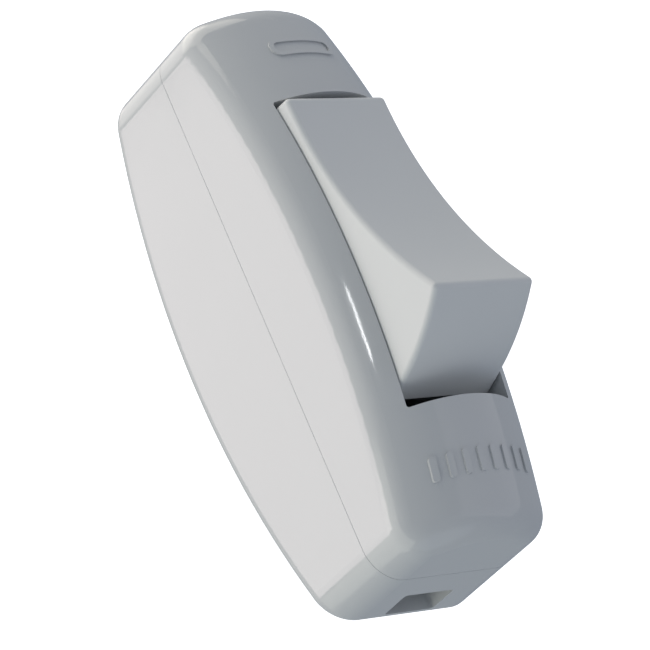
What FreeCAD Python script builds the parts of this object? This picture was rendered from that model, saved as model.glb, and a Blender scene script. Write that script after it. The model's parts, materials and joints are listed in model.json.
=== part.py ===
import FreeCAD, Part
import math
import os

# In-line cord rocker switch: a two-half moulded case, a concave rocker that snaps a see-saw
# contact over through a sprung plunger, terminals for a twin flex, and a cord clamp at each end.
# Millimetres. X runs along the case, Y across it along the rocker's pivot, Z up through the
# rocker. Heights below are measured from the split between the two halves; the finished solids
# are lifted so that the origin lies under the middle of the case, at its lowest point.

Vector = FreeCAD.Vector
ACROSS = Vector(0, 1, 0)
UP = Vector(0, 0, 1)
SIDES = (-1, 1)

# ---- Case, outside ----
CASE_LENGTH = 66.0
CASE_WIDTH = 20.6
COVER_RISE = 14.84           # ridge above the split at mid length
COVER_END_RISE = 9.85        # ridge line above the split where it meets the end faces
CROWN_DROP = 4.77            # from the ridge down to the crown's unrounded side edge
BASE_DEPTH = 15.4            # belly below the split at mid length
BASE_END_DEPTH = 9.56
CORNER_RADIUS = 3.9
CROWN_ROUND = 3.7
FOOT_ROUND = 1.5
SEAM_DEPTH = 0.05            # fine groove that the two halves leave at the split
SEAM_HALF_HEIGHT = 0.03

# ---- Case, walls and the lip that lines the halves up ----
WALL = 2.0
LIP_THICKNESS = 0.95
LIP_HEIGHT = 1.2
LIP_CLEARANCE = 0.1
HALF_GAP = 0.1               # left between facing bosses so that the rims close first

# ---- Raised marks on the crown ----
MARK_HEIGHT = 0.22
MARK_FROM_END = 7.2          # centre of each mark, in from the end face
BAR_LENGTH = 2.6             # along the case
BAR_WIDTH = 0.7
BAR_SPACING = 1.8
BAR_COUNT = 8
FRAME_LENGTH = 8.4
FRAME_WIDTH = 2.4
FRAME_LINE = 0.5

# ---- Rocker window ----
WINDOW_LENGTH = 37.8
WINDOW_WIDTH = 14.2
WINDOW_CORNER = 0.3
SKIRT_THICKNESS = 1.4
SKIRT_FOOT = 4.0             # foot of the window's skirt above the split

# ---- Rocker ----
PIVOT_HEIGHT = 5.3
ROCKER_TILT = 16.9           # each way from level, degrees
ROCKER_SIDE_GAP = 0.18
ROCKER_END_GAP = 1.5         # from the foot of each end to the window's end when level
ROCKER_TOP_STEP = 2.27       # each top edge stands in from the foot
ROCKER_TOP_HEIGHT = 12.88    # top edges above the pivot
ROCKER_DISH_HEIGHT = 10.6    # middle of the concave top above the pivot
ROCKER_MID_STEP = 0.7        # the rounded end's middle stands in from the foot
ROCKER_MID_HEIGHT = 8.1
ROCKER_FOOT_HEIGHT = 1.4
ROCKER_SKIRT = 1.0           # skirt's lower edge below the pivot
ROCKER_WALL = 1.4
ROCKER_TOP_WALL = 1.7
ROCKER_EDGE_ROUND = 0.6
ROCKER_RIB = 1.2
TRUNNION_RADIUS = 1.6
TRUNNION_CLEARANCE = 0.06
TRUNNION_END_GAP = 0.2
LUG_WALL = 1.2               # plastic round each trunnion's root

# ---- Plunger and its spring, in the rocker's tube ----
PLUNGER_RADIUS = 1.6
PLUNGER_CLEARANCE = 0.06
PLUNGER_BODY = 6.6           # from the tip's centre to the spring seat
TUBE_WALL = 1.2
TUBE_MOUTH = 3.2             # mouth of the tube below the pivot
TIP_CLEARANCE = 0.08         # tip over the see-saw as it passes the middle
SPRING_RADIUS = 1.15         # to the middle of the wire
SPRING_WIRE = 0.4
SPRING_TURNS = 6

# ---- See-saw contact ----
STRIP = 0.8                  # thickness of the brass strip used throughout
SEESAW_WIDTH = 4.4
SEESAW_HALF = 7.6
SEESAW_BEND = 7.0            # each wing's rise from flat, degrees
SEESAW_TILT = 7.0            # each way from level, degrees
FULCRUM_DROP = 5.92          # see-saw's axis below the split
FULCRUM_RADIUS = 0.6
FULCRUM_CLEARANCE = 0.06
EAR_THICKNESS = 0.7
EAR_HALF = 0.6
EAR_CLEARANCE = 0.1
NOTCH_HALF = 1.0
CONTACT_ARM = 6.2            # contact's centre out along the wing
CONTACT_RADIUS = 1.3
CONTACT_HEAD = 0.5
CONTACT_SHANK = 0.6
CONTACT_PEEN = 0.3
CONTACT_PEEN_RADIUS = 1.0
CONTACT_GAP = 0.05           # left between closed contacts and at the rest stop
RIVET_CLEARANCE = 0.02

# ---- Terminals ----
TERMINAL_DROP = 9.0          # underside of the terminal strips below the split
PAD_LENGTH = 5.6
PAD_WIDTH = 3.6
LEG_WIDTH = 2.4
CLAMP_PLATE = 4.2
CLAMP_PLATE_THICKNESS = 0.9
TERMINAL_SCREW_RADIUS = 1.25
TERMINAL_SCREW_HEAD = 1.9
TERMINAL_SCREW_HEAD_HEIGHT = 1.5
TERMINAL_SCREW_LENGTH = 4.6
TAPPED_CLEARANCE = 0.02
HOLE_CLEARANCE = 0.15
BARRIER_THICKNESS = 1.2
BARRIER_DROP = 4.0           # top of the insulating barriers below the split
BARRIER_PAST_PAD = 0.2
BARRIER_GAP = 1.4            # from the see-saw's end to the barrier

# ---- Screws that hold the halves together ----
CASE_SCREW_RADIUS = 1.3
CASE_SCREW_LENGTH = 14.8
CASE_SCREW_HEAD = 2.6
CASE_SCREW_HEAD_HEIGHT = 1.9
CASE_SCREW_SEAT = 7.3        # underside of the head below the split
BOSS_RADIUS = 3.0
BOSS_GAP = 0.2               # from a boss to the window's skirt, and to the cord clamp
COUNTERBORE_CLEARANCE = 0.15
SEAT_THICKNESS = 1.5

# ---- Cord inlets and clamps ----
INLET_WIDTH = 6.8
INLET_HEIGHT = 4.2
INLET_CORNER = 0.4
INLET_DROP = 6.25            # middle of the inlet below the split
CLAMP_WIDTH = 3.4
CLAMP_THICKNESS = 1.8
CLAMP_SIDE_GAP = 0.6         # from the clamp to each side wall
CLAMP_RIDGE = 0.5
CLAMP_SCREW_RADIUS = 1.1
CLAMP_SCREW_HEAD = 1.8
CLAMP_SCREW_HEAD_HEIGHT = 1.2
CLAMP_SCREW_LENGTH = 6.0
CLAMP_BOSS = 2.0
SADDLE_RISE = 0.4            # saddle's top above the foot of the inlet

# ---- Posts under the rocker's ends ----
STOP_THICKNESS = 1.2
STOP_LEAD = 0.5              # post's inner face, in from the pressed foot
STOP_GAP = 0.1
SLOT_CUT = 0.8               # screwdriver slot's width
SLOT_SHARE = 0.5             # slot's depth as a share of the head

HALF_LENGTH = CASE_LENGTH / 2
HALF_WIDTH = CASE_WIDTH / 2
INNER_Y = HALF_WIDTH - WALL
FAR = 2 * CASE_LENGTH        # longer than anything it has to cut through


def arc_radius(rise, half):
    """Radius of an arc that drops by rise over half its chord."""
    return (half * half + rise * rise) / (2 * rise)


CASE_SCREW_X = WINDOW_LENGTH / 2 + SKIRT_THICKNESS + BOSS_GAP + BOSS_RADIUS
CLAMP_X = CASE_SCREW_X + BOSS_RADIUS + BOSS_GAP + CLAMP_WIDTH / 2
CLAMP_LENGTH = 2 * (INNER_Y - CLAMP_SIDE_GAP)
CLAMP_SCREW_Y = CLAMP_LENGTH / 2 - CLAMP_BOSS - HALF_GAP
ARCH_RADIUS = arc_radius(COVER_RISE - COVER_END_RISE, HALF_LENGTH)
BELLY_RADIUS = arc_radius(BASE_DEPTH - BASE_END_DEPTH, HALF_LENGTH)
CROWN_RADIUS = arc_radius(CROWN_DROP, HALF_WIDTH)
ROCKER_HALF_WIDTH = WINDOW_WIDTH / 2 - ROCKER_SIDE_GAP
ROCKER_FOOT_HALF = WINDOW_LENGTH / 2 - ROCKER_END_GAP
ROCKER_MID_HALF = ROCKER_FOOT_HALF - ROCKER_MID_STEP
ROCKER_TOP_HALF = ROCKER_FOOT_HALF - ROCKER_TOP_STEP
TUBE_BORE = PLUNGER_RADIUS + PLUNGER_CLEARANCE
TUBE_RADIUS = TUBE_BORE + TUBE_WALL
SEESAW_SEAT = FULCRUM_RADIUS + FULCRUM_CLEARANCE
BEND = math.radians(SEESAW_BEND)
TILT = math.radians(ROCKER_TILT)
PRESSED_FOOT = ROCKER_FOOT_HALF * math.cos(TILT) - ROCKER_SKIRT * math.sin(TILT)
STOP_INNER = PRESSED_FOOT - STOP_LEAD
TERMINAL_X = STOP_INNER - HALF_GAP - PAD_LENGTH / 2
TERMINAL_Y = WINDOW_WIDTH / 2 + HALF_GAP / 2 - PAD_WIDTH / 2
STRIP_TOP = STRIP - TERMINAL_DROP
SCREW_SEAT = STRIP_TOP + CLAMP_PLATE_THICKNESS
INLET_TOP = INLET_HEIGHT / 2 - INLET_DROP
SADDLE_TOP = SADDLE_RISE - INLET_HEIGHT / 2 - INLET_DROP


# ---- Shapes used more than once ----
def block(x0, x1, y0, y1, z0, z1):
    """Box between two corners."""
    return Part.makeBox(x1 - x0, y1 - y0, z1 - z0, Vector(x0, y0, z0))


def upright(radius, x, y, z0, z1):
    """Round post or hole along Z."""
    return Part.makeCylinder(radius, z1 - z0, Vector(x, y, z0))


def crossbar(radius, x, z, y0, y1):
    """Round bar along Y."""
    return Part.makeCylinder(radius, y1 - y0, Vector(x, y0, z), ACROSS)


def vertical_edges(solid):
    """Edges that run straight up."""
    flat = 1e-6
    return [e for e in solid.Edges if e.BoundBox.XLength < flat and e.BoundBox.YLength < flat]


def rounded_block(x0, x1, y0, y1, z0, z1, radius):
    """Box with its upright edges rounded."""
    solid = block(x0, x1, y0, y1, z0, z1)
    return solid.makeFillet(radius, vertical_edges(solid))


def inlet_cut(x0, x1):
    """Bar with rounded long edges along X, for the cord's way in."""
    half_y = INLET_WIDTH / 2
    half_z = INLET_HEIGHT / 2
    solid = block(x0, x1, -half_y, half_y, -INLET_DROP - half_z, -INLET_DROP + half_z)
    long_edges = [e for e in solid.Edges if abs(e.BoundBox.XLength - (x1 - x0)) < 1e-6]
    return solid.makeFillet(INLET_CORNER, long_edges)


def plan_prism(inset, z0, z1):
    """The case's plan, drawn in by inset, as an upright prism."""
    half_x = HALF_LENGTH - inset
    half_y = HALF_WIDTH - inset
    return rounded_block(-half_x, half_x, -half_y, half_y, z0, z1, CORNER_RADIUS - inset)


def plan_ring(outer_inset, inner_inset, z0, z1):
    """Ring that follows the case's plan."""
    return plan_prism(outer_inset, z0, z1).cut(plan_prism(inner_inset, z0, z1))


def slotted_screw(radius, length, head_radius, head_height):
    """Screw hanging from z = 0, with its slotted head above."""
    shank = upright(radius, 0, 0, -length, 0)
    head = upright(head_radius, 0, 0, 0, head_height)
    rim = [e for e in head.Edges if e.BoundBox.ZMin > head_height / 2 and len(e.Vertexes) == 1]
    head = head.makeFillet(head_height * SLOT_SHARE * 0.8, rim)
    slot_floor = head_height * (1 - SLOT_SHARE)
    slot = block(-FAR, FAR, -SLOT_CUT / 2, SLOT_CUT / 2, slot_floor, FAR)
    return shank.fuse(head).cut(slot).removeSplitter()


def moved(solid, x, y, z):
    """Copy of a solid, shifted."""
    copy = solid.copy()
    copy.translate(Vector(x, y, z))
    return copy


# ---- Case halves ----
def under_crown(inset):
    """Everything under the top, which is crowned across and arched along the case."""
    radius = CROWN_RADIUS - inset
    edge_y = (HALF_WIDTH - inset + radius) / 2
    edge_z = COVER_RISE - CROWN_RADIUS + math.sqrt(radius ** 2 - edge_y ** 2)
    foot = -1.0
    corners = [Vector(0, edge_y, edge_z), Vector(0, edge_y, foot),
               Vector(0, -edge_y, foot), Vector(0, -edge_y, edge_z)]
    crown = Part.Arc(corners[3], Vector(0, 0, COVER_RISE - inset), corners[0]).toShape()
    lines = [Part.makeLine(a, b) for a, b in zip(corners, corners[1:])]
    section = Part.Face(Part.Wire([crown] + lines))
    centre = Vector(0, 0, COVER_RISE - ARCH_RADIUS)
    spread = math.degrees(math.asin((HALF_LENGTH + WALL) / (ARCH_RADIUS - COVER_RISE + foot)))
    section.rotate(centre, ACROSS, -spread)
    return section.revolve(centre, ACROSS, 2 * spread)


def cover_form(inset):
    """Cover's solid form with its rounded crown, drawn in by inset."""
    form = under_crown(inset).common(plan_prism(inset, 0, FAR))
    crown_edges = [e for e in form.Edges if e.BoundBox.ZMin > COVER_END_RISE / 3]
    return form.makeFillet(CROWN_ROUND - inset, crown_edges)


def belly_prism(inset):
    """Everything above the arched underside, up to the split."""
    half = HALF_LENGTH + WALL
    radius = BELLY_RADIUS - inset
    centre_z = BELLY_RADIUS - BASE_DEPTH
    end_z = centre_z - math.sqrt(radius ** 2 - half ** 2)
    arc = Part.Arc(Vector(-half, 0, end_z), Vector(0, 0, centre_z - radius), Vector(half, 0, end_z))
    corners = [Vector(half, 0, end_z), Vector(half, 0, 0), Vector(-half, 0, 0), Vector(-half, 0, end_z)]
    lines = [Part.makeLine(a, b) for a, b in zip(corners, corners[1:])]
    face = Part.Face(Part.Wire([arc.toShape()] + lines))
    face.translate(Vector(0, -HALF_WIDTH, 0))
    return face.extrude(Vector(0, CASE_WIDTH, 0))


def base_form(inset):
    """Base's solid form, drawn in by inset."""
    return belly_prism(inset).common(plan_prism(inset, -FAR, 0))


def window_block(spread, z0, z1):
    """The rocker's window as a block, spread outwards by an amount."""
    half_x = WINDOW_LENGTH / 2 + spread
    half_y = WINDOW_WIDTH / 2 + spread
    return rounded_block(-half_x, half_x, -half_y, half_y, z0, z1, WINDOW_CORNER)


def crown_marks():
    """Row of raised bars at one end of the crown and a raised frame at the other."""
    x = HALF_LENGTH - MARK_FROM_END
    marks = []
    for number in range(BAR_COUNT):
        y = (number - (BAR_COUNT - 1) / 2) * BAR_SPACING
        marks.append(rounded_block(x - BAR_LENGTH / 2, x + BAR_LENGTH / 2, y - BAR_WIDTH / 2,
                                   y + BAR_WIDTH / 2, 0, FAR, BAR_WIDTH * 0.45))
    frame = rounded_block(-x - FRAME_WIDTH / 2, -x + FRAME_WIDTH / 2, -FRAME_LENGTH / 2,
                          FRAME_LENGTH / 2, 0, FAR, FRAME_WIDTH * 0.45)
    hole = rounded_block(-x - FRAME_WIDTH / 2 + FRAME_LINE, -x + FRAME_WIDTH / 2 - FRAME_LINE,
                         -FRAME_LENGTH / 2 + FRAME_LINE, FRAME_LENGTH / 2 - FRAME_LINE, 0, FAR,
                         FRAME_WIDTH * 0.45 - FRAME_LINE)
    marks.append(frame.cut(hole))
    skin = under_crown(-MARK_HEIGHT).cut(under_crown(WALL / 2))
    return Part.makeCompound(marks).common(skin)


def make_cover():
    """Upper half: shell, window with its skirt, trunnion cheeks and screw bosses."""
    form = cover_form(0)
    shell = form.cut(cover_form(WALL))
    skirt_x = WINDOW_LENGTH / 2 + SKIRT_THICKNESS
    side = INNER_Y + WALL / 10
    cheek_x = TRUNNION_RADIUS + LUG_WALL + WALL
    inside = block(-skirt_x, skirt_x, -side, side, SKIRT_FOOT, FAR)
    for y in SIDES:
        inner, outer = sorted((y * WINDOW_WIDTH / 2, y * side))
        inside = inside.fuse(block(-cheek_x, cheek_x, inner, outer, HALF_GAP, FAR))
    for x in SIDES:
        inside = inside.fuse(upright(BOSS_RADIUS, x * CASE_SCREW_X, 0, HALF_GAP, FAR))
    cover = shell.fuse(inside.common(cover_form(WALL / 2)))
    cover = cover.cut(window_block(0, -FAR, FAR))
    slot_radius = TRUNNION_RADIUS + TRUNNION_CLEARANCE
    slot = crossbar(slot_radius, 0, PIVOT_HEIGHT, -INNER_Y, INNER_Y)
    slot = slot.fuse(block(-slot_radius, slot_radius, -INNER_Y, INNER_Y, -1, PIVOT_HEIGHT))
    cover = cover.cut(slot)
    pilot_top = CASE_SCREW_LENGTH - CASE_SCREW_SEAT + 1.0
    for x in SIDES:
        cover = cover.cut(upright(CASE_SCREW_RADIUS + TAPPED_CLEARANCE, x * CASE_SCREW_X, 0, 0, pilot_top))
    rebate_inset = WALL - LIP_THICKNESS - LIP_CLEARANCE
    cover = cover.cut(plan_ring(rebate_inset, WALL + LIP_CLEARANCE, 0, LIP_HEIGHT + LIP_CLEARANCE))
    cover = cover.cut(plan_ring(0, SEAM_DEPTH, 0, SEAM_HALF_HEIGHT))
    return cover.fuse(crown_marks()).removeSplitter()


def make_base():
    """Lower half: shell, lip, supports for the works, cord clamps' bosses and inlets."""
    form = base_form(0)
    foot_edges = [e for e in form.Edges if e.BoundBox.ZMax < -BASE_END_DEPTH / 2]
    form = form.makeFillet(FOOT_ROUND, foot_edges)
    shell = form.cut(base_form(WALL))
    mid_wall = base_form(WALL / 2)
    base = shell.fuse([post.common(mid_wall) for post in base_posts()])
    base = base.fuse(plan_ring(WALL - LIP_THICKNESS, WALL, -WALL, LIP_HEIGHT))
    base = base.fuse(keepers())
    for x in SIDES:
        base = base.cut(case_screw_hole(x * CASE_SCREW_X))
        for y in SIDES:
            base = base.cut(screw_hole(x * TERMINAL_X, y * TERMINAL_Y, TERMINAL_SCREW_RADIUS
                                       + TAPPED_CLEARANCE, SCREW_SEAT, TERMINAL_SCREW_LENGTH))
            base = base.cut(screw_hole(x * CLAMP_X, y * CLAMP_SCREW_Y, CLAMP_SCREW_RADIUS
                                       + TAPPED_CLEARANCE, INLET_TOP + CLAMP_THICKNESS, CLAMP_SCREW_LENGTH))
        near, far = sorted((x * (HALF_LENGTH - WALL - HALF_GAP), x * (HALF_LENGTH + WALL)))
        base = base.cut(inlet_cut(near, far))
    base = base.cut(plan_ring(0, SEAM_DEPTH, -SEAM_HALF_HEIGHT, 0))
    return base.removeSplitter()


def screw_hole(x, y, radius, seat, length):
    """Blind hole for a screw whose head sits at seat, with room below its point."""
    return upright(radius, x, y, seat - length - 0.2, 0)


def case_screw_hole(x):
    """Clearance hole with a counterbore from below."""
    bore = upright(CASE_SCREW_RADIUS + HOLE_CLEARANCE, x, 0, -BASE_DEPTH - 1, LIP_HEIGHT)
    counterbore = upright(CASE_SCREW_HEAD + COUNTERBORE_CLEARANCE, x, 0, -BASE_DEPTH - 1, -CASE_SCREW_SEAT)
    return bore.fuse(counterbore)


def keepers():
    """Ribs that close the trunnion slots from below, tied to the side walls up to the lip."""
    half_x = TRUNNION_RADIUS + TRUNNION_CLEARANCE - HALF_GAP
    top = PIVOT_HEIGHT - TRUNNION_RADIUS - HALF_GAP
    inner = WINDOW_WIDTH / 2 + HALF_GAP
    ribs = []
    for y in SIDES:
        y0, y1 = sorted((y * inner, y * (INNER_Y - HALF_GAP)))
        ribs.append(block(-half_x, half_x, y0, y1, -TERMINAL_DROP - STRIP, top))
        y0, y1 = sorted((y * inner, y * (INNER_Y + WALL / 10)))
        ribs.append(block(-half_x, half_x, y0, y1, -TERMINAL_DROP - STRIP, LIP_HEIGHT))
    return ribs


def rocker_foot_height():
    """Height of the skirt's lower corner when its end is pressed."""
    return PIVOT_HEIGHT - ROCKER_SKIRT * math.cos(TILT) - ROCKER_FOOT_HALF * math.sin(TILT)


def base_posts():
    """Posts, blocks and ribs that stand on the base's floor."""
    floor = -BASE_DEPTH - 1
    pad_x0, pad_x1 = pad_span_x()
    inner, outer = pad_span_y()
    saw_foot = seesaw_underside()
    stop_top = rocker_foot_height() - STOP_GAP
    stop_x1 = STOP_INNER + STOP_THICKNESS
    posts = []
    for x in SIDES:
        x0, x1 = sorted((x * pad_x0, x * stop_x1))
        for y in SIDES:
            y0, y1 = sorted((y * inner, y * outer))
            posts.append(block(x0, x1, y0, y1, floor, -TERMINAL_DROP))
            posts.append(upright(CLAMP_BOSS, x * CLAMP_X, y * CLAMP_SCREW_Y, floor, INLET_TOP))
            sx0, sx1 = sorted((x * STOP_INNER, x * stop_x1))
            sy0, sy1 = sorted((y * (ROCKER_HALF_WIDTH - ROCKER_WALL), y * ROCKER_HALF_WIDTH))
            posts.append(block(sx0, sx1, sy0, sy1, floor, stop_top))
        posts.append(upright(BOSS_RADIUS, x * CASE_SCREW_X, 0, floor, -HALF_GAP))
        sleeve = CASE_SCREW_HEAD + COUNTERBORE_CLEARANCE + LUG_WALL
        posts.append(upright(sleeve, x * CASE_SCREW_X, 0, floor, SEAT_THICKNESS - CASE_SCREW_SEAT))
        bx0, bx1 = sorted((x * barrier_start(x), x * (pad_x1 + BARRIER_PAST_PAD)))
        posts.append(block(bx0, bx1, -BARRIER_THICKNESS / 2, BARRIER_THICKNESS / 2, floor, -BARRIER_DROP))
        cx0, cx1 = sorted((x * (CLAMP_X - CLAMP_WIDTH / 4), x * (CLAMP_X + CLAMP_WIDTH / 4)))
        posts.append(block(cx0, cx1, -CLAMP_SCREW_Y, CLAMP_SCREW_Y, floor, SADDLE_TOP))
    half = SEESAW_WIDTH / 2
    posts.append(block(-EAR_HALF * 2, EAR_HALF * 2, -outer, half + EAR_THICKNESS, floor, -TERMINAL_DROP))
    contact_x = contact_place()
    tongue_foot = contact_strip_top() - STRIP
    anvil = block(HALF_GAP - contact_x - CONTACT_RADIUS, CONTACT_RADIUS - contact_x,
                  -half, half, floor, tongue_foot)
    posts.append(anvil.cut(upright(CONTACT_PEEN_RADIUS + HOLE_CLEARANCE, -contact_x, 0,
                                   tongue_foot - CONTACT_PEEN - HOLE_CLEARANCE, 0)))
    posts.append(block(CONTACT_ARM - CONTACT_RADIUS, CONTACT_ARM + CONTACT_RADIUS / 2,
                       -half / 2, half / 2, floor, saw_foot - CONTACT_GAP))
    return posts


# ---- Places that the works share ----
def pad_span_x():
    """Inner and outer reach of a terminal pad along the case."""
    return TERMINAL_X - PAD_LENGTH / 2, TERMINAL_X + PAD_LENGTH / 2


def pad_span_y():
    """Inner and outer reach of a terminal pad across the case."""
    return TERMINAL_Y - PAD_WIDTH / 2, TERMINAL_Y + PAD_WIDTH / 2


def barrier_start(side):
    """Where the barrier between the poles begins at each end."""
    if side < 0:
        return pad_span_x()[0] + LEG_WIDTH / 2 + 2 * HOLE_CLEARANCE
    return SEESAW_HALF + BARRIER_GAP


def seesaw_underside():
    """Height of a wing's underside when that wing lies level."""
    return -FULCRUM_DROP + SEESAW_SEAT * math.cos(math.radians(SEESAW_TILT))


def contact_strip_top():
    """Top of the fixed contact's strip: below the closed contacts' two heads."""
    return seesaw_underside() - 2 * CONTACT_HEAD - CONTACT_GAP


def contact_place():
    """Distance from the middle of the case to the closed contacts' centre."""
    return CONTACT_ARM + SEESAW_SEAT * math.sin(math.radians(SEESAW_TILT))


# ---- Rocker ----
def rocker_outline(inset, top_inset):
    """Rocker's side outline in its level place, about the pivot."""
    top_x = ROCKER_TOP_HALF - inset
    top_z = ROCKER_TOP_HEIGHT - top_inset
    mid_x = ROCKER_MID_HALF - inset
    foot_x = ROCKER_FOOT_HALF - inset
    skirt = -ROCKER_SKIRT
    dish = Part.Arc(Vector(-top_x, 0, top_z), Vector(0, 0, ROCKER_DISH_HEIGHT - top_inset),
                    Vector(top_x, 0, top_z))
    right = Part.Arc(Vector(top_x, 0, top_z), Vector(mid_x, 0, ROCKER_MID_HEIGHT),
                     Vector(foot_x, 0, ROCKER_FOOT_HEIGHT))
    left = Part.Arc(Vector(-foot_x, 0, ROCKER_FOOT_HEIGHT), Vector(-mid_x, 0, ROCKER_MID_HEIGHT),
                    Vector(-top_x, 0, top_z))
    corners = [Vector(foot_x, 0, ROCKER_FOOT_HEIGHT), Vector(foot_x, 0, skirt),
               Vector(-foot_x, 0, skirt), Vector(-foot_x, 0, ROCKER_FOOT_HEIGHT)]
    lines = [Part.makeLine(a, b) for a, b in zip(corners, corners[1:])]
    return Part.Face(Part.Wire([dish.toShape(), right.toShape()] + lines + [left.toShape()]))


def rocker_prism(inset, top_inset):
    """Rocker's outline drawn out across the case."""
    half = ROCKER_HALF_WIDTH - inset
    face = rocker_outline(inset, top_inset)
    face.translate(Vector(0, -half, 0))
    return face.extrude(Vector(0, 2 * half, 0))


def make_rocker():
    """Hollow rocker with its trunnions and the tube for the plunger."""
    form = rocker_prism(0, 0)
    rounded = [e for e in form.Edges if e.BoundBox.ZMax > ROCKER_FOOT_HEIGHT + 1]
    form = form.makeFillet(ROCKER_EDGE_ROUND, rounded)
    hollow = rocker_prism(ROCKER_WALL, ROCKER_TOP_WALL)
    hollow = hollow.fuse(moved(hollow, 0, 0, -ROCKER_SKIRT))
    shell = form.cut(hollow)
    half_y = ROCKER_HALF_WIDTH
    rib = ROCKER_RIB / 2
    ribs = block(-rib, rib, -half_y + 1, half_y - 1, -ROCKER_SKIRT, FAR)
    ribs = ribs.fuse(block(-ROCKER_MID_HALF, ROCKER_MID_HALF, -rib, rib, ROCKER_MID_HEIGHT - TUBE_RADIUS, FAR))
    tube = upright(TUBE_RADIUS, 0, 0, -TUBE_MOUTH, ROCKER_MID_HEIGHT)
    rocker = shell.fuse([ribs.common(form), tube])
    lug_radius = TRUNNION_RADIUS + LUG_WALL
    reach = INNER_Y - TRUNNION_END_GAP
    for y in SIDES:
        y0, y1 = sorted((y * (half_y - ROCKER_WALL), y * half_y))
        rocker = rocker.fuse(crossbar(lug_radius, 0, 0, y0, y1))
        y0, y1 = sorted((y * (half_y - ROCKER_WALL), y * reach))
        rocker = rocker.fuse(crossbar(TRUNNION_RADIUS, 0, 0, y0, y1))
    rocker = rocker.cut(upright(TUBE_BORE, 0, 0, -TUBE_MOUTH - 1, spring_seat()))
    return tilted(rocker.removeSplitter())


def tilted(solid):
    """From the rocker's level place about its pivot to its rest, with the +X end raised."""
    copy = solid.copy()
    copy.rotate(Vector(0, 0, 0), ACROSS, -ROCKER_TILT)
    copy.translate(Vector(0, 0, PIVOT_HEIGHT))
    return copy


def spring_seat():
    """Top of the tube's bore above the pivot."""
    return ROCKER_DISH_HEIGHT - ROCKER_TOP_WALL - TUBE_WALL


def plunger_tip():
    """Tip's centre below the pivot: just clear of the see-saw's valley when all is level."""
    valley = -FULCRUM_DROP + SEESAW_SEAT + STRIP / math.cos(BEND)
    return PIVOT_HEIGHT - valley - PLUNGER_RADIUS / math.cos(BEND) - TIP_CLEARANCE


def make_plunger():
    """Round-nosed plunger that slides in the rocker's tube."""
    tip = plunger_tip()
    body = upright(PLUNGER_RADIUS, 0, 0, -tip, PLUNGER_BODY - tip)
    nose = Part.makeSphere(PLUNGER_RADIUS, Vector(0, 0, -tip))
    return tilted(body.fuse(nose).removeSplitter())


def make_plunger_spring():
    """Helical spring between the plunger and the end of the tube's bore."""
    low = PLUNGER_BODY - plunger_tip() + SPRING_WIRE / 2
    high = spring_seat() - SPRING_WIRE / 2
    pitch = (high - low) / SPRING_TURNS
    path = Part.makeHelix(pitch, high - low, SPRING_RADIUS)
    path.translate(Vector(0, 0, low))
    wire_end = Part.makeCircle(SPRING_WIRE / 2, Vector(SPRING_RADIUS, 0, low), ACROSS)
    coil = Part.Wire(path.Edges).makePipeShell([Part.Wire([wire_end])], True, True)
    return tilted(coil)


# ---- See-saw contact and its rivets ----
def wing(side):
    """Strip from the see-saw's middle out to one end, bent up."""
    half = SEESAW_WIDTH / 2
    x0, x1 = sorted((0, side * SEESAW_HALF))
    strip = block(x0, x1, -half, half, SEESAW_SEAT, SEESAW_SEAT + STRIP)
    return bent(strip, side)


def bent(solid, side):
    """Turned up with its wing about the see-saw's middle."""
    copy = solid.copy()
    copy.rotate(Vector(0, 0, SEESAW_SEAT), ACROSS, -side * SEESAW_BEND)
    return copy


def rested(solid):
    """From level about the fulcrum's axis to the rest tilt, with the -X wing raised."""
    copy = solid.copy()
    copy.rotate(Vector(0, 0, 0), ACROSS, SEESAW_TILT)
    copy.translate(Vector(0, 0, -FULCRUM_DROP))
    return copy


def make_contact_rocker():
    """Brass see-saw, notched at its sides for the fulcrum's ears."""
    saw = wing(-1).fuse(wing(1))
    half = SEESAW_WIDTH / 2
    for y in SIDES:
        y0, y1 = sorted((y * (half - EAR_THICKNESS), y * (half + EAR_THICKNESS)))
        saw = saw.cut(block(-NOTCH_HALF, NOTCH_HALF, y0, y1, 0, FAR))
    hole = upright(CONTACT_SHANK + RIVET_CLEARANCE, -CONTACT_ARM, 0, -STRIP, SEESAW_SEAT + 2 * STRIP)
    return rested(saw.cut(bent(hole, -1)).removeSplitter())


def rivet(strip_low, head_up):
    """Contact rivet through a strip, with its head above or below."""
    strip_high = strip_low + STRIP
    shank = upright(CONTACT_SHANK, 0, 0, strip_low, strip_high)
    head = (strip_high, strip_high + CONTACT_HEAD) if head_up else (strip_low - CONTACT_HEAD, strip_low)
    peen = (strip_low - CONTACT_PEEN, strip_low) if head_up else (strip_high, strip_high + CONTACT_PEEN)
    solid = shank.fuse([upright(CONTACT_RADIUS, 0, 0, head[0], head[1]),
                        upright(CONTACT_PEEN_RADIUS, 0, 0, peen[0], peen[1])])
    return solid.removeSplitter()


def make_moving_contact():
    """Silver-faced rivet under the see-saw's -X wing."""
    return rested(bent(moved(rivet(SEESAW_SEAT, False), -CONTACT_ARM, 0, 0), -1))


def make_fixed_contact():
    """Silver-faced rivet that the moving one closes on."""
    return moved(rivet(contact_strip_top() - STRIP, True), -contact_place(), 0, 0)


# ---- Terminals ----
def pad(side_x, side_y):
    """One terminal's pad."""
    x0, x1 = sorted(side_x * x for x in pad_span_x())
    y0, y1 = sorted(side_y * y for y in pad_span_y())
    return block(x0, x1, y0, y1, -TERMINAL_DROP, STRIP_TOP)


def tapped(strip, side_x, side_y):
    """Strip with its terminal screw's hole."""
    return strip.cut(upright(TERMINAL_SCREW_RADIUS + TAPPED_CLEARANCE, side_x * TERMINAL_X,
                             side_y * TERMINAL_Y, -FAR, FAR))


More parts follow.
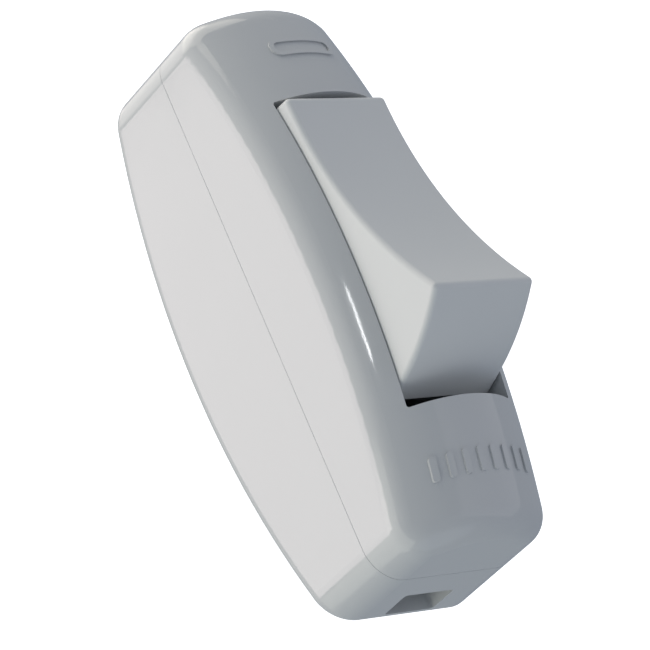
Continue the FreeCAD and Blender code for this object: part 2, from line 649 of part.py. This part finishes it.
def make_line_terminal():
    """Pad, leg and the fulcrum that the see-saw rocks on."""
    half = SEESAW_WIDTH / 2
    inner, outer = pad_span_y()
    ear_out = half - EAR_THICKNESS + EAR_CLEARANCE + EAR_THICKNESS
    leg = block(-EAR_HALF * 2, pad_span_x()[0], -outer, -outer + LEG_WIDTH, -TERMINAL_DROP, STRIP_TOP)
    cross = block(-EAR_HALF * 2, EAR_HALF * 2, -outer, ear_out, -TERMINAL_DROP, STRIP_TOP)
    plate = block(-FULCRUM_RADIUS, FULCRUM_RADIUS, -ear_out, ear_out, -TERMINAL_DROP, -FULCRUM_DROP)
    ridge = crossbar(FULCRUM_RADIUS, 0, -FULCRUM_DROP, -ear_out, ear_out)
    ear_top = -FULCRUM_DROP + SEESAW_SEAT + 2 * STRIP
    ears = []
    for y in SIDES:
        y0, y1 = sorted((y * (ear_out - EAR_THICKNESS), y * ear_out))
        ears.append(block(-EAR_HALF, EAR_HALF, y0, y1, -TERMINAL_DROP, ear_top))
    strip = pad(1, -1).fuse([leg, cross, plate, ridge] + ears)
    return tapped(strip, 1, -1).removeSplitter()


def make_load_terminal():
    """Pad, cross leg and the raised tongue that carries the fixed contact."""
    half = SEESAW_WIDTH / 2 - STRIP / 2
    tongue_top = contact_strip_top()
    place = contact_place()
    root = -place - CONTACT_RADIUS - STRIP
    pad_x = pad_span_x()[0]
    cross = block(-pad_x - LEG_WIDTH / 2, root + STRIP, -pad_span_y()[1], half, -TERMINAL_DROP, STRIP_TOP)
    riser = block(root, root + STRIP, -half, half, -TERMINAL_DROP, tongue_top)
    tongue = block(root, -place + CONTACT_RADIUS, -half, half, tongue_top - STRIP, tongue_top)
    strip = pad(-1, -1).fuse([cross, riser, tongue])
    strip = strip.cut(upright(CONTACT_SHANK + RIVET_CLEARANCE, -place, 0, -TERMINAL_DROP + STRIP, FAR))
    return tapped(strip, -1, -1).removeSplitter()


def make_neutral_link():
    """Straight bar that carries the unswitched conductor past the works."""
    inner, outer = pad_span_y()
    far = pad_span_x()[1]
    bar = block(-far, far, inner, outer, -TERMINAL_DROP, STRIP_TOP)
    return tapped(tapped(bar, -1, 1), 1, 1).removeSplitter()


def make_clamp_plate(side_x, side_y):
    """Plate that a terminal screw presses on the conductor."""
    half = CLAMP_PLATE / 2
    x = side_x * TERMINAL_X
    y = side_y * TERMINAL_Y
    plate = rounded_block(x - half, x + half, y - half, y + half, STRIP_TOP, SCREW_SEAT, STRIP / 2)
    return plate.cut(upright(TERMINAL_SCREW_RADIUS + HOLE_CLEARANCE, x, y, -FAR, FAR))


def make_terminal_screws():
    """Four terminal screws."""
    screw = slotted_screw(TERMINAL_SCREW_RADIUS, TERMINAL_SCREW_LENGTH, TERMINAL_SCREW_HEAD,
                          TERMINAL_SCREW_HEAD_HEIGHT)
    return Part.makeCompound([moved(screw, x * TERMINAL_X, y * TERMINAL_Y, SCREW_SEAT)
                              for x in SIDES for y in SIDES])


# ---- Cord clamps and screws ----
def make_cord_clamp(side):
    """Bar across the cord, with a ridge that bites it."""
    x = side * CLAMP_X
    half_x = CLAMP_WIDTH / 2
    half_y = CLAMP_LENGTH / 2
    bar = rounded_block(x - half_x, x + half_x, -half_y, half_y, INLET_TOP, INLET_TOP + CLAMP_THICKNESS,
                        CLAMP_WIDTH / 3)
    reach = CLAMP_SCREW_Y - CLAMP_BOSS - HOLE_CLEARANCE * 2
    bar = bar.fuse(block(x - CLAMP_RIDGE, x + CLAMP_RIDGE, -reach, reach, INLET_TOP - CLAMP_RIDGE,
                         INLET_TOP + STRIP))
    for y in SIDES:
        bar = bar.cut(upright(CLAMP_SCREW_RADIUS + HOLE_CLEARANCE, x, y * CLAMP_SCREW_Y, -FAR, FAR))
    return bar.removeSplitter()


def make_cord_clamp_screws():
    """Two screws for each cord clamp."""
    screw = slotted_screw(CLAMP_SCREW_RADIUS, CLAMP_SCREW_LENGTH, CLAMP_SCREW_HEAD, CLAMP_SCREW_HEAD_HEIGHT)
    return Part.makeCompound([moved(screw, x * CLAMP_X, y * CLAMP_SCREW_Y, INLET_TOP + CLAMP_THICKNESS)
                              for x in SIDES for y in SIDES])


def make_case_screws():
    """Two long screws, up through the base into the cover."""
    screw = slotted_screw(CASE_SCREW_RADIUS, CASE_SCREW_LENGTH, CASE_SCREW_HEAD, CASE_SCREW_HEAD_HEIGHT)
    screw.rotate(Vector(0, 0, 0), Vector(1, 0, 0), 180)
    return Part.makeCompound([moved(screw, x * CASE_SCREW_X, 0, -CASE_SCREW_SEAT) for x in SIDES])


def write(name, shape):
    """Lift a finished piece so that the case's lowest point is at the origin, and write it."""
    placed = moved(shape, 0, 0, BASE_DEPTH)
    placed.exportStep("parts/" + name + ".step")
    print(name, len(placed.Solids), round(placed.Volume, 1), placed.isValid())


os.makedirs("parts", exist_ok=True)
write("cover", make_cover())
write("base", make_base())
write("rocker", make_rocker())
write("plunger", make_plunger())
write("plunger_spring", make_plunger_spring())
write("contact_rocker", make_contact_rocker())
write("moving_contact", make_moving_contact())
write("fixed_contact", make_fixed_contact())
write("line_terminal", make_line_terminal())
write("load_terminal", make_load_terminal())
write("neutral_link", make_neutral_link())
CORNERS = {"line_clamp_plate": (1, -1), "load_clamp_plate": (-1, -1),
           "neutral_in_clamp_plate": (1, 1), "neutral_out_clamp_plate": (-1, 1)}
for plate_name, (side_x, side_y) in CORNERS.items():
    write(plate_name, make_clamp_plate(side_x, side_y))
write("terminal_screws", make_terminal_screws())
write("cord_clamp_in", make_cord_clamp(1))
write("cord_clamp_out", make_cord_clamp(-1))
write("cord_clamp_screws", make_cord_clamp_screws())
write("case_screws", make_case_screws())
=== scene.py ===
# %% [markdown]
# # In-line cord rocker switch
# This switch sits in a lamp's cord. Two glossy grey mouldings close on each other along a straight
# seam, and a matt rocker with a hollow top tips in a window in the narrow upper face. The shapes,
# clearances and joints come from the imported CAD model, which this script loads and never moves.
# What is made here is how each surface looks, the light and the camera.

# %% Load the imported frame
import json
import math

import bmesh
import bpy
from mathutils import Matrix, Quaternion, Vector


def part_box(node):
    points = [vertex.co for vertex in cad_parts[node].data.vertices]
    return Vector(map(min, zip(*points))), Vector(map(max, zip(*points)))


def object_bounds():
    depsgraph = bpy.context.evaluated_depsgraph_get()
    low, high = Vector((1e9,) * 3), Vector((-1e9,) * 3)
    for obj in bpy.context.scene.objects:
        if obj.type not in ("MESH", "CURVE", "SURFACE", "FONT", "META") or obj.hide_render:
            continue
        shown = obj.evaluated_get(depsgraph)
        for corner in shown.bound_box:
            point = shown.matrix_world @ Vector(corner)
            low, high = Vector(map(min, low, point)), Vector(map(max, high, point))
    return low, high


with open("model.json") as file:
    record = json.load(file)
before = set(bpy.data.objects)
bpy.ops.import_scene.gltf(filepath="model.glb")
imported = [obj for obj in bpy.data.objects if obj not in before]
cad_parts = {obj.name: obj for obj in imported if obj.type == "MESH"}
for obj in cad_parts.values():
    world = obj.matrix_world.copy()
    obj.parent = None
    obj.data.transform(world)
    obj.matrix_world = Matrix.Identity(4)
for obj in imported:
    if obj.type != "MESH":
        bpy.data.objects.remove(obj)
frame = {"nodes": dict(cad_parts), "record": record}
cad_low, cad_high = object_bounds()
nodes = frame["nodes"]
MM = 0.001
print("nodes:", len(nodes), "box in mm:", [round(side / MM, 2) for side in cad_high - cad_low])

# %% [markdown]
# ## Colours and nodes
# A colour picked on a screen is sRGB, which is bent to suit the eye. Shaders add light up, so they
# need linear numbers. One function turns a hex value round, and one dims it. Another adds a node with
# its settings and its links in one line, which keeps a material readable as a list of what feeds
# what.


# %% Colour and node helpers
def linear(hex_colour):
    """Linear red, green, blue and alpha for an sRGB hex value."""
    parts = [int(hex_colour[i:i + 2], 16) / 255 for i in (0, 2, 4)]
    return [p / 12.92 if p <= 0.04045 else ((p + 0.055) / 1.055) ** 2.4 for p in parts] + [1.0]


def darker(hex_colour, share):
    """The colour in linear light, dimmed to a share of its brightness."""
    return [part * share for part in linear(hex_colour)[:3]] + [1.0]


def add_node(tree, kind, settings=None, **inputs):
    """A node with its settings; an input is a value, or another node's output socket."""
    node = tree.nodes.new(kind)
    for name, value in (settings or {}).items():
        setattr(node, name, value)
    for name, value in inputs.items():
        socket = node.inputs[name.replace("_", " ")]
        if isinstance(value, bpy.types.NodeSocket):
            tree.links.new(value, socket)
        else:
            socket.default_value = value
    return node


def new_material(name):
    """An empty node material and its node tree."""
    material = bpy.data.materials.new(name)
    material.use_nodes = True
    material.node_tree.nodes.clear()
    return material, material.node_tree


print("mid grey in linear light:", [round(c, 3) for c in linear("808080")])

# %% [markdown]
# ## Glossy moulded ABS: the two case halves
# ABS takes the polish of its mould, so it reflects softly sharp highlights at an IOR near 1.54. A
# moulding is never a perfect mirror: cooling leaves long, shallow waves of a few millimetres, and
# handling leaves faint smudges that change the roughness and not the colour. The waves go in a bump
# so shallow that it shows only in the reflections, and the smudges go in the roughness.


# %% Glossy moulded ABS
ABS_IOR = 1.54
SMUDGE_SIZE_MM = 14.0
SMUDGE_DULLING = 0.05
SMUDGE_NOISE_LOW = 0.35
SMUDGE_NOISE_HIGH = 0.75
CASE_TINT_SHARE = 0.975


def glossy_abs(name, colour, roughness, wave_mm=9.0, wave_height_mm=0.010):
    """Polished injection moulding with moulding waves and faint handling smudges."""
    material, tree = new_material(name)
    place = add_node(tree, "ShaderNodeTexCoord").outputs["Object"]
    waves = add_node(tree, "ShaderNodeTexNoise", Vector=place, Scale=1 / (wave_mm * MM), Detail=1.0)
    bump = add_node(tree, "ShaderNodeBump", Height=waves.outputs["Fac"], Strength=1.0,
                    Distance=wave_height_mm * MM)
    smudges = add_node(tree, "ShaderNodeTexNoise", Vector=place, Scale=1 / (SMUDGE_SIZE_MM * MM),
                       Detail=5.0, Roughness=0.6)
    shine = add_node(tree, "ShaderNodeMapRange", Value=smudges.outputs["Fac"],
                     From_Min=SMUDGE_NOISE_LOW, From_Max=SMUDGE_NOISE_HIGH,
                     To_Min=roughness, To_Max=roughness + SMUDGE_DULLING)
    tint = add_node(tree, "ShaderNodeMixRGB", {"blend_type": "MIX"}, Fac=smudges.outputs["Fac"],
                    Color1=linear(colour), Color2=darker(colour, CASE_TINT_SHARE))
    surface = add_node(tree, "ShaderNodeBsdfPrincipled", Base_Color=tint.outputs["Color"],
                       Normal=bump.outputs["Normal"], Roughness=shine.outputs["Result"], IOR=ABS_IOR)
    add_node(tree, "ShaderNodeOutputMaterial", Surface=surface.outputs["BSDF"])
    return material


case_abs = glossy_abs("glossy_moulded_abs", "C9CBCC", roughness=0.07)
print("made", case_abs.name)

# %% [markdown]
# ## Matt moulded ABS: the rocker
# The rocker's mould is spark-eroded, which leaves a fine even grain so that a fingertip grips it
# and fingerprints don't show. The real grain is about 0.05 mm across. It is drawn at 0.22 mm so
# that it just shows, and it is very shallow.


# %% Matt moulded ABS and nylon
CLOUD_SIZE_MM = 11.0
CLOUD_TINT_SHARE = 0.97


def matt_abs(name, colour, roughness, grain_mm=0.22, grain_height_mm=0.006):
    """Spark-eroded moulding: fine grain, broad soft highlights."""
    material, tree = new_material(name)
    place = add_node(tree, "ShaderNodeTexCoord").outputs["Object"]
    grain = add_node(tree, "ShaderNodeTexNoise", Vector=place, Scale=1 / (grain_mm * MM), Detail=2.0)
    bump = add_node(tree, "ShaderNodeBump", Height=grain.outputs["Fac"], Strength=1.0,
                    Distance=grain_height_mm * MM)
    clouds = add_node(tree, "ShaderNodeTexNoise", Vector=place, Scale=1 / (CLOUD_SIZE_MM * MM),
                      Detail=3.0)
    tint = add_node(tree, "ShaderNodeMixRGB", {"blend_type": "MIX"}, Fac=clouds.outputs["Fac"],
                    Color1=linear(colour), Color2=darker(colour, CLOUD_TINT_SHARE))
    surface = add_node(tree, "ShaderNodeBsdfPrincipled", Base_Color=tint.outputs["Color"],
                       Normal=bump.outputs["Normal"], Roughness=roughness, IOR=ABS_IOR)
    add_node(tree, "ShaderNodeOutputMaterial", Surface=surface.outputs["BSDF"])
    return material


rocker_abs = matt_abs("spark_eroded_abs", "D7D9D9", roughness=0.48)
natural_nylon = matt_abs("natural_nylon", "E4DECB", roughness=0.42, grain_mm=0.4)
clamp_nylon = matt_abs("grey_nylon", "C4C6C7", roughness=0.5, grain_mm=0.35)
print("made", rocker_abs.name, natural_nylon.name, clamp_nylon.name)

# %% [markdown]
# ## Metals: strip brass, silver contacts, zinc plate and spring wire
# Metals keep their default IOR, because their colour carries the reflection. Rolled strip shows
# fine lines along the rolling direction, so the noise is stretched along X by a Mapping node.
# Zinc plate is even, with a slight cloudiness.


# %% Metals
METAL_TINT_SHARE = 0.82


def worked_metal(name, colour, roughness, line_mm=0.15, stretch=12.0, depth_mm=0.003):
    """Metal with fine lines along X; a stretch of 1 leaves an even, cloudy plate."""
    material, tree = new_material(name)
    place = add_node(tree, "ShaderNodeTexCoord").outputs["Object"]
    along = add_node(tree, "ShaderNodeMapping", Vector=place, Scale=(1 / stretch, 1.0, 1.0))
    lines = add_node(tree, "ShaderNodeTexNoise", Vector=along.outputs["Vector"],
                     Scale=1 / (line_mm * MM), Detail=3.0)
    bump = add_node(tree, "ShaderNodeBump", Height=lines.outputs["Fac"], Strength=1.0,
                    Distance=depth_mm * MM)
    tint = add_node(tree, "ShaderNodeMixRGB", {"blend_type": "MIX"}, Fac=lines.outputs["Fac"],
                    Color1=linear(colour), Color2=darker(colour, METAL_TINT_SHARE))
    surface = add_node(tree, "ShaderNodeBsdfPrincipled", Base_Color=tint.outputs["Color"],
                       Normal=bump.outputs["Normal"], Roughness=roughness, Metallic=1.0)
    add_node(tree, "ShaderNodeOutputMaterial", Surface=surface.outputs["BSDF"])
    return material


strip_brass = worked_metal("rolled_strip_brass", "D9B36A", roughness=0.28)
silver_contact = worked_metal("silver_contact", "DEDCD6", roughness=0.22, stretch=1.0)
zinc_plate = worked_metal("zinc_plated_steel", "B9BBBF", roughness=0.34, line_mm=0.8, stretch=1.0)
spring_wire = worked_metal("drawn_spring_wire", "9A9B9E", roughness=0.3, stretch=1.0)
print("made", [m.name for m in (strip_brass, silver_contact, zinc_plate, spring_wire)])

# %% [markdown]
# ## Which finish goes on which piece
# The record names a finish for every node. The table below gives each finish its material, so a
# new node would only need its slot.

# %% Finishes
FINISHES = {
    "case_moulding": case_abs,
    "rocker_moulding": rocker_abs,
    "natural_nylon": natural_nylon,
    "clamp_moulding": clamp_nylon,
    "brass_strip": strip_brass,
    "silver_contact": silver_contact,
    "plated_steel": zinc_plate,
    "spring_steel": spring_wire,
}
for part in frame["record"]["subparts"]:
    piece = nodes[part["node"]]
    piece.data.materials.clear()
    piece.data.materials.append(FINISHES[part["material_slot"]])

# %% [markdown]
# ## Floor
# A catalogue picture shows such a switch on pure white with no shadow. The floor here is a pale
# acrylic sheet that glows, as on a light table. A glowing floor would also light the switch from
# below on every side and flatten it, so the floor is switched off for diffuse, glossy and shadow
# rays: the camera sees it, and the lamps below may shine through it as through a clear sheet.


# %% Floor
FLOOR_HALF_SIZE = 1.5
FLOOR_GLOW = 0.95


def make_floor(half_size):
    """Pale glowing sheet under the switch, seen only by the camera."""
    mesh = bpy.data.meshes.new("floor")
    bm = bmesh.new()
    bmesh.ops.create_grid(bm, x_segments=1, y_segments=1, size=half_size)
    bm.to_mesh(mesh)
    bm.free()
    floor = bpy.data.objects.new("floor", mesh)
    bpy.context.scene.collection.objects.link(floor)
    material, tree = new_material("white_acrylic_sheet")
    surface = add_node(tree, "ShaderNodeBsdfPrincipled", Base_Color=linear("F4F4F4"), Roughness=0.9,
                       Emission_Color=linear("FFFFFF"), Emission_Strength=FLOOR_GLOW)
    add_node(tree, "ShaderNodeOutputMaterial", Surface=surface.outputs["BSDF"])
    mesh.materials.append(material)
    floor.visible_diffuse = False
    floor.visible_glossy = False
    floor.visible_shadow = False
    return floor


print("floor:", make_floor(FLOOR_HALF_SIZE).name)

# %% [markdown]
# ## Light
# The flat side is bright and even, and the crown beside it is a mid grey with hardly any change
# across it. So the main light comes from the flat side and from below the seam: a light from above
# would shade the crown from one edge to the other. Two boxes share that work. Two more stand beyond
# the far end, one of them low, a weak one stands beyond the near end, and one behind keeps the hollow
# top of the rocker readable. A blue tint in the surroundings cools the crown. Last, one narrow strip
# draws a thin white line on the round edge beside the window, which is what tells the eye that the
# case is glossy. A box can be turned about its own axis, so that the strip lies along the edge it
# lights.


# %% Lights
BOX_DISTANCE = 0.6
STRIP_DISTANCE = 0.5
SURROUND_STRENGTH = 0.34


def make_softbox(name, towards, size, watts, colour="FFFFFF", distance=BOX_DISTANCE, turn=0.0):
    """Area light that faces the middle of the case from a direction, turned by some degrees."""
    data = bpy.data.lights.new(name, "AREA")
    data.shape = "RECTANGLE"
    data.size, data.size_y = size
    data.energy = watts
    data.color = linear(colour)[:3]
    light = bpy.data.objects.new(name, data)
    bpy.context.scene.collection.objects.link(light)
    direction = Vector(towards).normalized()
    light.location = (cad_low + cad_high) / 2 + direction * distance
    light.rotation_mode = "QUATERNION"
    facing = direction.to_track_quat("Z", "Y")
    light.rotation_quaternion = facing @ Quaternion((0, 0, 1), math.radians(turn))
    return light


make_softbox("side_box", (0.4, -0.85, -0.35), (0.9, 0.6), watts=1.85, colour="FFFEEE")
make_softbox("low_side_box", (-0.3, -0.8, -0.6), (0.3, 0.3), watts=0.78, colour="FFF2F1")
make_softbox("far_end_box", (-1.0, -0.25, -0.05), (0.7, 0.7), watts=2.3, colour="FFF8E9")
make_softbox("low_far_box", (-0.9, -0.2, -0.4), (0.5, 0.5), watts=0.85, colour="FFF7F1")
make_softbox("near_end_box", (1.0, 0.0, 0.1), (0.5, 0.5), watts=0.25, colour="DDE8FF")
make_softbox("back_box", (0.0, 0.6, 0.8), (1.0, 0.8), watts=0.9, colour="FFF8F8")
make_softbox("edge_strip", (-0.23, -0.574, 0.786), (0.075, 0.016), watts=0.08,
             distance=STRIP_DISTANCE, turn=9.0)

world = bpy.data.worlds.new("tent")
bpy.context.scene.world = world
world.use_nodes = True
background = world.node_tree.nodes["Background"]
background.inputs["Color"].default_value = linear("E3EFFF")
background.inputs["Strength"].default_value = SURROUND_STRENGTH

# %% [markdown]
# ## Camera
# A long lens from about 0.4 m keeps the case's long edges nearly parallel. The camera looks down
# over the flat side and is rolled, so that the case runs from the upper left to the lower right.

# %% Camera
AZIMUTH = math.radians(30.2)
ELEVATION = math.radians(42.2)
ROLL = math.radians(45.1)
CAMERA_DISTANCE = 395 * MM
LENS_MM = 203
SENSOR_MM = 36
NEAREST_SHOWN = 10 * MM
AIM_ALONG = 1.42 * MM
AIM_ACROSS = -0.87 * MM
AIM_BELOW_SEAM = 1.61 * MM

seam_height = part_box("cover")[0].z
aim = Vector((AIM_ALONG, AIM_ACROSS, seam_height - AIM_BELOW_SEAM))
outward = Vector((math.sin(AZIMUTH) * math.cos(ELEVATION), -math.cos(AZIMUTH) * math.cos(ELEVATION),
                  math.sin(ELEVATION)))
camera_data = bpy.data.cameras.new("camera")
camera_data.lens = LENS_MM
camera_data.sensor_width = SENSOR_MM
camera_data.clip_start = NEAREST_SHOWN
camera = bpy.data.objects.new("camera", camera_data)
bpy.context.scene.collection.objects.link(camera)
camera.rotation_mode = "QUATERNION"
camera.location = aim + outward * CAMERA_DISTANCE
camera.rotation_quaternion = outward.to_track_quat("Z", "Y") @ Quaternion((0, 0, 1), ROLL)
bpy.context.scene.camera = camera
bpy.context.scene.view_settings.view_transform = "Standard"
print("camera at", [round(c, 3) for c in camera.location])
